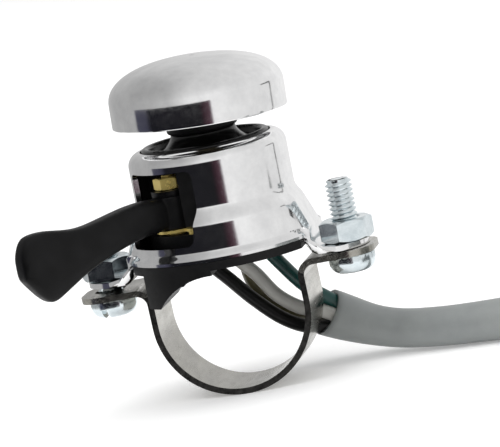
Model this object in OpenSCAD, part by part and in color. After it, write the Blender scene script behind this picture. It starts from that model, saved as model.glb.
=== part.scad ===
// Handlebar horn push and dip switch with its clamp and cable.
// Origin: axis of the handlebar that the saddle sits on, +Y along the bar, +Z up the switch body.

/* [Handlebar clamp] */
// Diameter of the handlebar
bar_d = 22.2; // [21.9:0.1:22.4]
// Thickness of the clamp strap
strap_t = 0.9; // [0.8:0.1:1.1]
// Width of the clamp strap along the bar
strap_w = 11.3; // [9:0.1:12]
// How far the loose strap has been drawn up past its fitted place
strap_lift = 3.45; // [3:0.05:3.5]
// Tilt of the loose strap, right side up
strap_tilt = 1.4; // [0:0.1:1.6]
// Distance of each clamp screw from the middle
screw_x = 18.4; // [18:0.1:18.8]
// Diameter of the clamp screw threads
screw_d = 4; // [3.5:0.1:4]

/* [Housing] */
// Outer radius of the upper cylinder of the housing
shell_r = 11.85; // [11.7:0.05:12]
// Thickness of the pressed shell
shell_t = 0.8; // [0.6:0.1:0.9]
// Height of the rolled lip above the bar axis
lip_z = 28.8; // [28.5:0.1:29]
// Half width of the window for the dip lever
window_half = 6.2; // [5.8:0.1:6.4]

/* [Horn push] */
// Radius of the horn cap
cap_r = 13.05; // [12:0.05:14]
// Tilt of the horn cap on its stem, left side up
cap_tilt = 2; // [0:0.5:2]

/* [Dip lever] */
// Direction of the dip lever, measured left from the front
lever_turn = 44; // [42:1:46]
// Thickness of the lever arm
lever_t = 4; // [3:0.1:4]

/* [Cable] */
// Diameter of each wire
wire_d = 2.1; // [1.8:0.1:2.1]
// Diameter of the grey sleeve
sleeve_d = 6.4; // [6:0.1:6.4]
// Radius of the folds of the stored hank at the middle of the sleeve
fold_r = 19.2; // [19.2:0.1:19.5]
// Length of the straight runs of the stored hank
hank_run = 59; // [57:1:60]

/* [Hidden] */
$fn = 96;

// Strap
bar_r = bar_d / 2;
strap_out = bar_r + strap_t;
strap_fillet = 1.6;
strap_ear_z = 8.65;          // underside of the ears before the strap is tilted
strap_ear_x = 22.5;
strap_corner = 4;
floor_z = strap_lift - strap_out;

// Clamp screws: the left one hangs lower, because the strap is tilted
head_r = 3.5;
head_h = 2.3;
head_z = 6.55;               // lowest point of the right head
left_drop = 0.9;
screw_top = 20.05;
nut_af = 7;
nut_h = 3.2;
run_gap = 0.05;              // radial clearance of running fits

// Housing
rim_z = 13.15;
rim_r = 14.5;
ear_top = 10.95;
ear_x = 21.4;
ear_half = 5.5;
ear_wall_x = 13.95;          // outer face of the short wall above each ear
lip_r = 9.8;
shoulder_r = 2;
shoulder_z = lip_z - 1.83;
flare_top = 21;
flare_low = 18;
flare_r = 13.2;
skirt_r = 13.85;
window_turn = 34;            // direction of the window, measured left from the front
window_low = 15.55;
window_high = 26.35;

// Base and inner block
base_r = 14.6;
base_low = 11.85;
base_top = 14.2;
base_flat = 12.7;
foot_x = 10.8;
foot_low = 6.9;
block_r = 10.75;
block_top = 26.2;
base_screw_at = [[7, -6.5], [-7.8, 3.4]];
base_screw_r = 1.2;
base_screw_head = 2;
ledge_z = 16.9;              // floor of the lever's pocket
chamber_r = 4;
chamber_low = 16.6;
guide_low = 21;
terminal_r = 1;

// Dip lever, in the window's own frame: pivot place and hub
pivot = [-5.1, -6.4];
hub_r = 2.95;
hub_low = 17.75;
hub_top = 22.75;
pin_r = 1.5;
stud_r = 1;
pivot_nut_af = 4;
contact_t = 0.4;
notch_turn = 24;             // the lever's turn between its two places
finger_reach = 4.3;
post_r = 0.5;                // posts of the two fixed contacts
ball_r = 0.8;

// Horn push
stem_r = 2.5;
collar_r = 5.3;
collar_low = 30.7;
plunger_top = 33.1;
cap_low = 32.65;
cap_t = 0.9;
cap_skirt = 3.4;             // straight part of the cap's side
dome_h = 5.7;                // height of its flattened dome
dome_power = 0.86;
disc_r = 3.6;
disc_t = 0.6;

// Wires: exits under the base, then behind the strap to the mouth of the sleeve
wire_r = wire_d / 2;
exit_black = [-5.2, 7.2];
exit_white = [-1.4, 7.8];
exit_green = [3.6, 7.6];
exit_olive = [1.1, 9.6];
route_black = [
    [-5.2, 7.2, 14.2], [-5.2, 7.2, 10.8], [-4.4, 7.7, 9.2], [-2.3, 8, 6.7], [1, 8, 2.9], [4.6, 8.1, -0.5],
    [7.5, 8.6, -2.3], [10.4, 9.6, -3.2], [14, 10, -4], [18, 9.7, -5.65], [22, 9, -6.6]
];
route_white = [
    [-1.4, 7.8, 14.2], [-1.4, 7.8, 11.6], [-0.4, 7.9, 9.6], [2.1, 8, 6.6], [4.5, 8, 3.1], [7.7, 8.1, 0.6],
    [11.4, 8.9, -0.9], [14, 8.5, -2.45], [18, 8.15, -4.1], [22, 7.45, -5.05]
];
route_green = [
    [3.6, 7.6, 14.2], [3.6, 7.6, 12], [4.5, 7.9, 10], [6.3, 8, 7.3], [8.9, 8.4, 3.8], [12.1, 9.6, 0.9],
    [14.3, 10, -0.95], [18.4, 9.7, -2.6], [22, 9, -3.5], [26, 7.7, -3.9]
];
route_olive = [
    [1.1, 9.6, 14.2], [1.1, 9.6, 11.5], [0.3, 10.5, 8.6], [0.8, 10.5, 5], [3.1, 10.5, 1.9], [6.4, 10.8, -0.4],
    [11.2, 11.6, -1.5], [14, 11.55, -2.45], [18, 11.25, -4.1], [22, 10.55, -5.05]
];

// Sleeve: from its mouth along the surface to the hank, whose rear run has a third layer
sleeve_r = sleeve_d / 2;
lie_z = floor_z + sleeve_r;
hank_x = 71;
hank_y = -10;
hank_layers = 2;
top_run = 55;
route_sleeve = [
    [11.2, 10, -1.1], [14, 10, -2.45], [18, 9.7, -4.1], [22, 9, -5.05], [28.6, 6.8, lie_z],
    [36.5, 5.4, lie_z], [44, 5, lie_z], [52, 6, lie_z], [60, 8, lie_z], [66, 9, lie_z]
];
tie_x = 98;
tie_w = 3;
tie_t = 0.6;

// Tails: from the end of the sleeve on the hank, over its far fold and down to the surface
bullet_r = 2.35;
bullet_l = 9;
nose_l = 3;
tail_z = floor_z + bullet_r;
tail_black = [
    [126, 10.3, 6.35], [129, 10.3, 6.35], [134, 10.7, 6.2], [140, 11.4, 5.4], [144.5, 11.7, 0.8],
    [148.5, 11.8, -4.8], [154, 11.8, -7.3], [160, 11.7, -7.4], [165.5, 11.6, tail_z], [168, 11.6, tail_z]
];
tail_olive = [
    [126, 10.3, 8.55], [129, 10.3, 8.55], [134, 10.1, 8.4], [139, 9.5, 7.8], [144.5, 8.4, 5.6],
    [149, 7.1, 0.6], [153, 5.8, -5], [158.5, 4.1, -7.3], [164, 3.1, -7.4], [169.5, 2.8, tail_z],
    [172, 2.8, tail_z]
];
tail_green = [
    [126, 8.1, 8.55], [129, 8.1, 8.55], [134, 7.1, 8.4], [140, 5.2, 7.6], [147, 1.6, 6.6],
    [152.5, -1.4, 4.6], [156.5, -3.4, -0.6], [160, -4.8, -5.8], [164, -5.5, -7.3], [168.5, -5.8, tail_z],
    [171, -5.8, tail_z]
];
tail_white = [
    [126, 8.1, 6.35], [129, 8.1, 6.35], [134, 5.4, 6], [139, 2, 5.8], [145, -3.2, 5.7],
    [150.6, -8.2, 5.8], [153.6, -10.4, 5.2], [157, -12.4, 0], [160.4, -13.6, -5.4], [165, -14.2, -7.4],
    [170.5, -14.4, tail_z], [173, -14.4, tail_z]
];

// Helpers
function unit(v) = v / norm(v);
function arc_points(c, r, a, b, n) =
    [for (i = [0 : n]) let (t = a + (b - a) * i / n) c + r * [cos(t), sin(t)]];
function ease(t) = t * t * (3 - 2 * t);
function heading(p, i) = unit(p[min(i + 1, len(p) - 1)] - p[max(i - 1, 0)]);
function ring(p, i, r, n, side) =
    let (t = heading(p, i), s = unit(cross(side, t)), u = cross(t, s))
    [for (k = [0 : n - 1]) p[i] + r * (cos(360 * k / n) * s + sin(360 * k / n) * u)];

// A round tube along the points p, with n sides. side is a direction that the route never runs along.
module tube(p, r, n, side = [0, 0, 1]) {
    last = len(p) - 1;
    polyhedron(
        points = [for (i = [0 : last]) each ring(p, i, r, n, side)],
        faces = [
            [for (k = [0 : n - 1]) k],
            for (i = [0 : last - 1]) for (k = [0 : n - 1])
                [i * n + k, (i + 1) * n + k, (i + 1) * n + (k + 1) % n, i * n + (k + 1) % n],
            [for (k = [n - 1 : -1 : 0]) last * n + k]
        ]
    );
}

// A spring of round wire standing on z = low
module coil_spring(r, wire, low, high, turns, steps = 10) {
    n = turns * steps;
    rise = high - low - wire;
    line = [
        for (i = [0 : n]) let (t = 360 * i / steps) [r * cos(t), r * sin(t), low + wire / 2 + rise * i / n]
    ];
    tube(line, wire / 2, 6);
}

// A 2D drawing in X and Z, pulled out along Y to both sides
module pull(width) rotate([90, 0, 0]) linear_extrude(width, center = true) children();

module rounded_slab(x, y, r) {
    square([2 * x, 2 * (y - r)], center = true);
    square([2 * (x - r), 2 * y], center = true);
    for (i = [-1, 1], j = [-1, 1]) translate([i * (x - r), j * (y - r)]) circle(r);
}

module quarter_ring(c, inner, outer) {
    translate(c) intersection() {
        difference() {
            circle(outer);
            circle(inner);
        }
        translate([-outer, 0]) square(outer);
    }
}

module at_window() rotate([0, 0, -window_turn]) children();
module at_pivot() translate([pivot.x, pivot.y, 0]) rotate([0, 0, -window_turn]) children();

// Housing: a pressed shell with a rolled lip, a window and two ears
module shell_outline() {
    flare = [
        for (i = [0 : 8])
            [shell_r + (flare_r - shell_r) * ease(i / 8), flare_top + (flare_low - flare_top) * i / 8]
    ];
    outer = concat(
        [[lip_r, shoulder_z + sqrt(shoulder_r ^ 2 - (lip_r - shell_r + shoulder_r) ^ 2)]],
        arc_points([shell_r - shoulder_r, shoulder_z], shoulder_r, 84, 0, 8),
        flare,
        [[skirt_r, rim_z + 1.1], [rim_r, rim_z + 0.6], [rim_r, rim_z]]
    );
    inner = concat(
        [[rim_r - shell_t, rim_z], [skirt_r - shell_t, rim_z + 1.1]],
        [for (i = [8 : -1 : 0]) flare[i] - [shell_t, 0]],
        arc_points([shell_r - shoulder_r, shoulder_z], shoulder_r - shell_t, 0, 42, 4),
        [[lip_r, shoulder_z + 1.1]]
    );
    polygon(concat(outer, inner));
}

module ear_outline() {
    turn_r = 1.2;
    turn_x = ear_wall_x + turn_r;
    turn_z = ear_top + turn_r;
    translate([ear_wall_x - shell_t, turn_z]) square([shell_t, rim_z + 2.4 - turn_z]);
    mirror([0, 1]) quarter_ring([turn_x, -turn_z], turn_r, turn_r + shell_t);
    translate([turn_x, ear_top - shell_t]) square([ear_x - turn_x, shell_t]);
}

module housing() color([0.86, 0.86, 0.87]) difference() {
    union() {
        rotate_extrude() shell_outline();
        intersection() {
            pull(2 * ear_half) {
                ear_outline();
                mirror([1, 0]) ear_outline();
            }
            linear_extrude(60, center = true) rounded_slab(ear_x, ear_half, ear_half - 0.01);
        }
    }
    translate([0, 0, rim_z - 0.1]) cylinder(r = skirt_r - shell_t - 0.25, h = 3);
    for (s = [-1, 1]) translate([s * screw_x, 0, 0]) cylinder(r = screw_d / 2 + 0.2, h = 20);
    at_window() translate([0, 0, (window_low + window_high) / 2]) rotate([90, 0, 0])
        linear_extrude(20) rounded_slab(window_half, (window_high - window_low) / 2, 1);
}

// Base: black moulding under the housing, with half a saddle and the wire holes
module base_plan(flat) intersection() {
    circle(base_r);
    square([2 * flat, 40], center = true);
}

module base_saddle() color([0.12, 0.12, 0.13]) difference() {
    union() {
        translate([0, 0, base_low]) linear_extrude(rim_z - base_low - 0.05) base_plan(base_flat);
        translate([0, 0, base_low]) cylinder(r = skirt_r - shell_t - 0.35, h = base_top - base_low);
        translate([0, 0, foot_low]) linear_extrude(base_low - foot_low) intersection() {
            base_plan(foot_x);
            translate([-20, -20]) square([20.3, 40]);
        }
    }
    rotate([90, 0, 0]) cylinder(r = bar_r, h = 60, center = true);
    for (p = [exit_black, exit_white, exit_green, exit_olive])
        translate([p.x, p.y, 5]) cylinder(r = wire_r + 0.12, h = 20, $fn = 48);
    for (p = base_screw_at) translate([p.x, p.y, 0]) {
        translate([0, 0, 4]) cylinder(r = base_screw_head + 0.15, h = 8.9, $fn = 48);
        cylinder(r = base_screw_r + 0.1, h = 20, $fn = 48);
    }
}

module base_screws() color([0.75, 0.77, 0.8]) for (p = base_screw_at) translate([p.x, p.y, 0]) difference() {
    union() {
        translate([0, 0, 11.8]) cylinder(r = base_screw_head, h = 1.1, $fn = 48);
        translate([0, 0, 12.9]) cylinder(r = base_screw_r, h = 3.3, $fn = 48);
    }
    translate([0, 0, 12]) cube([5, 0.6, 0.7], center = true);
}

// Inner block: carries the lever pivot, the contacts and the guide for the horn stem
module lever_pocket() {
    translate([-6, -window_half * 2, ledge_z]) cube([9.3, 5.2, block_top - ledge_z + 1]);
    translate([0, -0.2, ledge_z]) rotate([0, 0, window_turn]) translate([pivot.x, pivot.y, 0])
        cylinder(r = 3.45, h = 12);
    translate([1.5, -10.4, ledge_z]) cube([4.1, 5, 1.15]);
}

module switch_block() color([0.1, 0.1, 0.11]) difference() {
    translate([0, 0, base_top]) cylinder(r = block_r, h = block_top - base_top);
    at_window() lever_pocket();
    translate([0, 0, chamber_low]) cylinder(r = chamber_r, h = guide_low - chamber_low);
    translate([0, 0, guide_low - 1]) cylinder(r = stem_r + run_gap, h = 10);
    translate([pivot.x, pivot.y, 0]) cylinder(r = pin_r, h = 20, $fn = 48);
    for (p = [exit_black, exit_white, exit_green, exit_olive]) translate([p.x, p.y, 0])
        cylinder(r = terminal_r, h = 18.2, $fn = 48);
    for (p = base_screw_at) translate([p.x, p.y, 0]) cylinder(r = base_screw_r + 0.05, h = 16.3, $fn = 48);
    at_pivot() translate([0, 0, (hub_low + hub_top) / 2]) rotate([0, 90, 0])
        cylinder(r = ball_r + 0.1, h = 6.4, $fn = 48);
    for (a = [-12, 12]) at_pivot() rotate([0, 0, a]) translate([finger_reach, 0, 0])
        cylinder(r = post_r, h = 20, $fn = 24);
    translate([-1.3, 2.6, chamber_low]) cube([2.6, 4, 0.45]);
}

module terminals() color([0.85, 0.68, 0.35]) for (p = [exit_black, exit_white, exit_green, exit_olive])
    translate([p.x, p.y, base_top]) cylinder(r = terminal_r, h = 4, $fn = 48);

// Dip lever: hub and arm, drawn in the vertical plane through the pivot
module lever_outline() polygon(concat(
    [[1.9, hub_top - 0.1], [6.3, 23], [11, 22.45], [16, 21.8]],
    [for (i = [1 : 5]) [16 + 7.4 * i / 5, 21.8 + 0.95 * ease(i / 5)]],
    arc_points([25.2, 21.4], 1.35, 80, 15, 4),
    arc_points([26.2, 17.2], 1.75, 10, -40, 4),
    arc_points([23.7, 13.7], 1.3, -45, -120, 4),
    [[19.8, 13.9], [15.8, 15.65], [11.4, 16.9], [6.7, 17.85], [1.9, hub_low + 0.1]]
));

module dip_lever() color([0.14, 0.14, 0.15]) difference() {
    union() {
        translate([pivot.x, pivot.y, hub_low]) cylinder(r = hub_r, h = hub_top - hub_low);
        translate([pivot.x, pivot.y, 0]) rotate([0, 0, -90 - lever_turn]) pull(lever_t) lever_outline();
    }
    translate([pivot.x, pivot.y, 0]) cylinder(r = pin_r + run_gap, h = 40);
    for (a = [0, -notch_turn]) at_pivot() rotate([0, 0, a])
        translate([hub_r + ball_r - 0.25, 0, 0]) cylinder(r = ball_r, h = 40, $fn = 32);
}

module pivot_pin() color([0.8, 0.65, 0.3]) translate([pivot.x, pivot.y, 0]) {
    translate([0, 0, 14.6]) cylinder(r = pin_r, h = 8.2, $fn = 48);
    translate([0, 0, 22.8]) cylinder(r = stud_r, h = 2.9, $fn = 48);
}

module pivot_spring_washer() color([0.3, 0.3, 0.32]) translate([pivot.x, pivot.y, 22.8]) difference() {
    cylinder(r = 2.9, h = 0.8, $fn = 64);
    cylinder(r = stud_r + run_gap, h = 4, center = true, $fn = 48);
}

module pivot_nut() color([0.85, 0.7, 0.3]) translate([pivot.x, pivot.y, 23.65]) difference() {
    rotate([0, 0, 40]) cylinder(r = pivot_nut_af / sqrt(3), h = 1.8, $fn = 6);
    cylinder(r = stud_r + run_gap, h = 5, center = true, $fn = 48);
}

// Brass plate that turns with the lever, with a finger that wipes over two fixed contacts
module moving_contact() color([0.85, 0.7, 0.3]) at_pivot()
    translate([0, 0, hub_low - contact_t]) difference() {
    union() {
        cylinder(r = 3.15, h = contact_t, $fn = 64);
        rotate([0, 0, -12]) translate([0, -0.8, 0]) cube([finger_reach, 1.6, contact_t]);
        rotate([0, 0, -12]) translate([finger_reach, 0, 0]) cylinder(r = 0.8, h = contact_t, $fn = 48);
    }
    cylinder(r = pin_r + run_gap, h = 4, center = true, $fn = 48);
}

module fixed_contacts() color([0.85, 0.7, 0.3]) at_pivot() for (a = [-12, 12]) rotate([0, 0, a])
    translate([finger_reach, 0, base_top]) {
        cylinder(r = post_r, h = ledge_z - base_top, $fn = 24);
        translate([0, 0, ledge_z - base_top]) cylinder(r = 0.8, h = 0.4, $fn = 48);
    }

module detent_ball() color([0.8, 0.8, 0.82]) at_pivot()
    translate([hub_r + ball_r + 0.05, 0, (hub_low + hub_top) / 2]) sphere(ball_r, $fn = 32);

module detent_spring() color([0.75, 0.75, 0.78]) at_pivot() translate([0, 0, (hub_low + hub_top) / 2])
    rotate([0, 90, 0]) coil_spring(0.6, 0.25, hub_r + 2 * ball_r + 0.1, 6.3, 4, 8);

// Horn push: spun cap on a guided stem with a contact disc below
function dome(r, height) =
    [for (a = [0 : 5 : 90]) [r * sin(a) ^ dome_power, cap_low + cap_skirt + height * cos(a) ^ dome_power]];

module cap_outline() {
    outer = dome(cap_r, dome_h);
    inner = dome(cap_r - cap_t, dome_h - cap_t);
    last = len(inner) - 1;
    polygon(concat(
        outer,
        [[cap_r, cap_low], [cap_r - cap_t, cap_low]],
        [for (i = [last : -1 : 0]) inner[i]]
    ));
}

module tilt_cap() translate([0, 0, plunger_top]) rotate([0, cap_tilt, 0])
    translate([0, 0, -plunger_top]) children();

module horn_cap() color([0.84, 0.84, 0.85]) tilt_cap() rotate_extrude() cap_outline();

module cap_boss() color([0.8, 0.65, 0.35]) tilt_cap() difference() {
    translate([0, 0, plunger_top + 0.1]) cylinder(r = 2.4, h = 7.5, $fn = 64);
    translate([0, 0, plunger_top]) cylinder(r = 1.1, h = 5, $fn = 48);
}

module horn_plunger() color([0.1, 0.1, 0.1]) difference() {
    union() {
        translate([0, 0, guide_low - 0.1]) cylinder(r = stem_r, h = collar_low - guide_low + 0.2);
        translate([0, 0, collar_low]) cylinder(r = collar_r, h = plunger_top - collar_low);
    }
    cylinder(r = 0.95, h = 50, $fn = 48);
}

module plunger_screw() color([0.85, 0.7, 0.35]) {
    translate([0, 0, guide_low - disc_t - 0.95]) cylinder(r = 1.6, h = 0.85, $fn = 48);
    translate([0, 0, guide_low - disc_t - 0.1]) cylinder(r = 0.9, h = 16, $fn = 48);
}

module contact_disc() color([0.85, 0.7, 0.35]) translate([0, 0, guide_low - disc_t - 0.1]) difference() {
    cylinder(r = disc_r, h = disc_t, $fn = 64);
    cylinder(r = 0.95, h = 4, center = true, $fn = 48);
}

module contact_blade() color([0.85, 0.7, 0.35]) translate([-1.2, -3, chamber_low]) cube([2.4, 9.4, 0.4]);

module horn_spring() color([0.75, 0.75, 0.78])
    coil_spring(3.35, 0.7, block_top + 0.02, collar_low - 0.02, 4, 12);

// Boot: a glossy bellows between the stem and the lip of the housing
module boot_outline() {
    flare = [for (i = [0 : 8]) let (t = i / 8) [4.85 + 2.85 * t ^ 1.5, 30.65 - 2.85 * t ^ 0.75]];
    under = [for (i = [8 : -1 : 0]) let (t = i / 8) [3.95 + 3.05 * t ^ 1.5, 30.65 - 3.6 * t ^ 0.75]];
    polygon(concat(
        flare,
        [[8.15, 27.9], [8.45, 28.6]],
        arc_points([9, 28.75], 0.55, 165, 0, 8),
        [[9.55, 27.75], [10.25, 27.6], [10.85, 27.05], [10.85, block_top + 0.05]],
        [[9.4, block_top + 0.05], [8.4, block_top + 0.5]],
        under
    ));
}

module horn_boot() color([0.06, 0.06, 0.06]) rotate_extrude() boot_outline();

// Clamp: strap, two screws from below, two nuts on the ears of the housing
module strap_outline() {
    turn_x = strap_out + strap_fillet;
    turn_z = strap_ear_z - strap_lift - strap_fillet;
    difference() {
        circle(strap_out);
        circle(bar_r);
        translate([-20, 0]) square(40);
    }
    for (m = [0, 1]) mirror([m, 0]) {
        translate([bar_r, 0]) square([strap_t, turn_z]);
        quarter_ring([turn_x, turn_z], strap_fillet, strap_fillet + strap_t);
        translate([turn_x, turn_z + strap_fillet]) square([strap_ear_x - turn_x, strap_t]);
    }
}

module clamp_strap() color([0.8, 0.79, 0.76])
    translate([0, 0, strap_lift]) rotate([0, -strap_tilt, 0]) difference() {
    intersection() {
        pull(strap_w) strap_outline();
        linear_extrude(60, center = true) rounded_slab(strap_ear_x, strap_w / 2, strap_corner);
    }
    for (s = [-1, 1]) translate([s * screw_x, 0, 0]) cylinder(r = screw_d / 2 + 0.35, h = 20);
}

module clamp_screw(low) {
    translate([0, 0, low]) difference() {
        union() {
            translate([0, 0, 0.9]) cylinder(r = head_r, h = head_h - 0.9);
            rotate_extrude()
                polygon(concat([[0, 0]], arc_points([head_r - 1.7, 0.9], 1.7, -58, 0, 6), [[0, 0.9]]));
        }
        translate([0, 0, -0.2]) cube([2 * head_r + 2, 0.9, 2.4], center = true);
    }
    translate([0, 0, low + head_h]) cylinder(r = screw_d / 2, h = screw_top - head_z - head_h);
}

module clamp_screw_right() color([0.8, 0.82, 0.84]) translate([screw_x, 0, 0]) clamp_screw(head_z);
module clamp_screw_left() color([0.8, 0.82, 0.84]) translate([-screw_x, 0, 0])
    clamp_screw(head_z - left_drop);

module clamp_nut(turn) translate([0, 0, ear_top]) difference() {
    rotate([0, 0, turn]) intersection() {
        cylinder(r = nut_af / sqrt(3), h = nut_h, $fn = 6);
        rotate_extrude()
            polygon([[0, 0], [3.55, 0], [4.1, 0.4], [4.1, nut_h - 0.4], [3.55, nut_h], [0, nut_h]]);
    }
    cylinder(r = screw_d / 2 + run_gap, h = 20, center = true);
}

module clamp_nut_right() color([0.8, 0.83, 0.86]) translate([screw_x, 0, 0]) clamp_nut(50);
module clamp_nut_left() color([0.8, 0.83, 0.86]) translate([-screw_x, 0, 0]) clamp_nut(26);

// Wires, sleeve and the stored length of cable in its tied hank
module wire_black() color([0.1, 0.1, 0.1]) tube(route_black, wire_r, 8, [0, 1, 0]);
module wire_white() color([0.85, 0.84, 0.8]) tube(route_white, wire_r, 8, [0, 1, 0]);
module wire_green() color([0.1, 0.35, 0.33]) tube(route_green, wire_r, 8, [0, 1, 0]);
module wire_olive() color([0.42, 0.38, 0.24]) tube(route_olive, wire_r, 8, [0, 1, 0]);

module cable_sleeve() color([0.5, 0.51, 0.51]) tube(route_sleeve, sleeve_r, 12);

module hank_plan(r) hull() for (x = [0, hank_run]) translate([hank_x + x, hank_y]) circle(r);

module cable_hank() color([0.5, 0.51, 0.51]) translate([0, 0, floor_z]) {
    linear_extrude(hank_layers * sleeve_d) difference() {
        hank_plan(fold_r + sleeve_r);
        hank_plan(fold_r - sleeve_r);
    }
    translate([hank_x, hank_y + fold_r - sleeve_r, 0])
        cube([top_run, sleeve_d, (hank_layers + 1) * sleeve_d]);
}

module hank_tie() color([0.15, 0.15, 0.16]) translate([tie_x, hank_y + fold_r, floor_z])
    let (high = (hank_layers + 1) * sleeve_d) difference() {
        translate([-tie_w / 2, -sleeve_r - tie_t, 0]) cube([tie_w, sleeve_d + 2 * tie_t, high + tie_t]);
        translate([-tie_w, -sleeve_r, tie_t]) cube([2 * tie_w, sleeve_d, high - tie_t]);
    }

module tail(p) tube(p, wire_r, 8);
module tail_black() color([0.1, 0.1, 0.1]) tail(tail_black);
module tail_white() color([0.85, 0.84, 0.8]) tail(tail_white);
module tail_green() color([0.1, 0.35, 0.33]) tail(tail_green);
module tail_olive() color([0.42, 0.38, 0.24]) tail(tail_olive);

// A brass bullet connector lying on the surface, in line with the end of its tail
module bullet(p) {
    last = p[len(p) - 1];
    way = last - p[len(p) - 2];
    translate(last) rotate([0, 0, atan2(way.y, way.x)]) rotate([0, 90, 0]) {
        cylinder(r = bullet_r, h = bullet_l, $fn = 64);
        translate([0, 0, bullet_l]) rotate_extrude($fn = 64) polygon(concat(
            [[0, 0], [bullet_r, 0]],
            arc_points([bullet_r - 1.6, 1], 1.6, 0, 75, 6),
            [[0, nose_l - 0.3]]
        ));
    }
}
module bullet_black() color([0.82, 0.66, 0.32]) bullet(tail_black);
module bullet_white() color([0.82, 0.66, 0.32]) bullet(tail_white);
module bullet_green() color([0.82, 0.66, 0.32]) bullet(tail_green);
module bullet_olive() color([0.82, 0.66, 0.32]) bullet(tail_olive);

housing();
base_saddle();
switch_block();
base_screws();
terminals();
dip_lever();
pivot_pin();
pivot_nut();
pivot_spring_washer();
moving_contact();
fixed_contacts();
detent_ball();
detent_spring();
horn_cap();
cap_boss();
horn_plunger();
plunger_screw();
contact_disc();
contact_blade();
horn_spring();
horn_boot();
clamp_strap();
clamp_screw_left();
clamp_screw_right();
clamp_nut_left();
clamp_nut_right();
wire_black();
wire_white();
wire_green();
wire_olive();
cable_sleeve();
cable_hank();
hank_tie();
tail_black();
tail_white();
tail_green();
tail_olive();
bullet_black();
bullet_white();
bullet_green();
bullet_olive();
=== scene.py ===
"""Looks of a handlebar horn push and dip switch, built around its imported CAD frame.

Every size below is in millimetres in the frame of the CAD model, and MM turns it into metres."""
import math

import bmesh
import bpy
from mathutils import Matrix, Vector


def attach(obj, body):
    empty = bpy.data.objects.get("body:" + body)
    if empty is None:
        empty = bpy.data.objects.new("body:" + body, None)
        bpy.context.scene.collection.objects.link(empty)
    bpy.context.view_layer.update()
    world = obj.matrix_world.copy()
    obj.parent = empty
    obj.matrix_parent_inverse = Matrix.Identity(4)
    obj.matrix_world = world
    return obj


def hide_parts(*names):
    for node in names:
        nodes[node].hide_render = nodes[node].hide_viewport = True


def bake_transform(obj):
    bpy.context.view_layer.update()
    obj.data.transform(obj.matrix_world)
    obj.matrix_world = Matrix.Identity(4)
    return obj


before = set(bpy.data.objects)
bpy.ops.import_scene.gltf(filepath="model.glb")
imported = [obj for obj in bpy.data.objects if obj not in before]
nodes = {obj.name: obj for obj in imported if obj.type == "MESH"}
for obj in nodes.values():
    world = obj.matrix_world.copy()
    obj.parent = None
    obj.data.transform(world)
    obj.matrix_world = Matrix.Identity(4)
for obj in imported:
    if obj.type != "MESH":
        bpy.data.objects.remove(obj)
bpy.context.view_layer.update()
MM = 0.001

# ---------------------------------------------------------------- camera

CAMERA_AZIMUTH = math.radians(12.0)
CAMERA_ELEVATION = math.radians(8.3)
CAMERA_ROLL = math.radians(11.06)
CAMERA_DISTANCE = 575.0
CAMERA_TARGET = Vector((4.28, 0.0, 15.58))
PIXELS_PER_MM = 6.765
IMAGE_WIDTH = 500


def make_camera():
    """The camera stands a little right of the front, looks slightly down and is rolled."""
    back = Vector((
        math.sin(CAMERA_AZIMUTH) * math.cos(CAMERA_ELEVATION),
        -math.cos(CAMERA_AZIMUTH) * math.cos(CAMERA_ELEVATION),
        math.sin(CAMERA_ELEVATION),
    ))
    right = Vector((math.cos(CAMERA_AZIMUTH), math.sin(CAMERA_AZIMUTH), 0.0))
    up = back.cross(right)
    axis_x = math.cos(CAMERA_ROLL) * right - math.sin(CAMERA_ROLL) * up
    axis_y = math.sin(CAMERA_ROLL) * right + math.cos(CAMERA_ROLL) * up
    data = bpy.data.cameras.new("camera")
    data.sensor_width = 36.0
    data.lens = CAMERA_DISTANCE * PIXELS_PER_MM * data.sensor_width / IMAGE_WIDTH
    data.clip_start = 0.02
    data.clip_end = 20.0
    camera = bpy.data.objects.new("camera", data)
    turn = Matrix((axis_x, axis_y, back)).transposed().to_4x4()
    camera.matrix_world = Matrix.Translation((CAMERA_TARGET + back * CAMERA_DISTANCE) * MM) @ turn
    bpy.context.scene.collection.objects.link(camera)
    bpy.context.scene.camera = camera


make_camera()

# ---------------------------------------------------------------- mesh helpers


def new_mesh(name, points, faces, smooth=True):
    """An object from points in millimetres."""
    mesh = bpy.data.meshes.new(name)
    mesh.from_pydata([Vector(p) * MM for p in points], [], faces)
    mesh.validate()
    made = bpy.data.objects.new(name, mesh)
    bpy.context.scene.collection.objects.link(made)
    tidy = bmesh.new()
    tidy.from_mesh(mesh)
    bmesh.ops.remove_doubles(tidy, verts=tidy.verts, dist=1e-7)
    bmesh.ops.recalc_face_normals(tidy, faces=tidy.faces)
    tidy.to_mesh(mesh)
    tidy.free()
    for face in mesh.polygons:
        face.use_smooth = smooth
    return made


def grid_faces(rows, columns, closed_rows=False, closed_columns=True):
    """Quads between rows of points; a closed grid joins its last row or column to its first."""
    faces = []
    for i in range(rows if closed_rows else rows - 1):
        for j in range(columns if closed_columns else columns - 1):
            a, b = i, (i + 1) % rows
            c, d = j, (j + 1) % columns
            faces.append((a * columns + c, a * columns + d, b * columns + d, b * columns + c))
    return faces


def arc(cx, cy, r, start, end, steps):
    """Points on an arc, with angles in degrees."""
    out = []
    for i in range(steps + 1):
        a = math.radians(start + (end - start) * i / steps)
        out.append((cx + r * math.cos(a), cy + r * math.sin(a)))
    return out


def ease(t):
    t = min(1.0, max(0.0, t))
    return t * t * (3 - 2 * t)


def mix(a, b, t):
    return a + (b - a) * t


def lathe(name, outline, segments, closed=True):
    """Turns an outline of (radius, z) about Z. A closed outline makes a ring with a hole or a solid."""
    points = []
    for r, z in outline:
        for k in range(segments):
            a = 2 * math.pi * k / segments
            points.append((max(r, 1e-4) * math.cos(a), max(r, 1e-4) * math.sin(a), z))
    return new_mesh(name, points, grid_faces(len(outline), segments, closed_rows=closed))


def sharpen(obj, angle):
    """Keeps edges sharper than angle crisp in the shading."""
    obj.data.set_sharp_from_angle(angle=math.radians(angle))
    return obj


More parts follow.
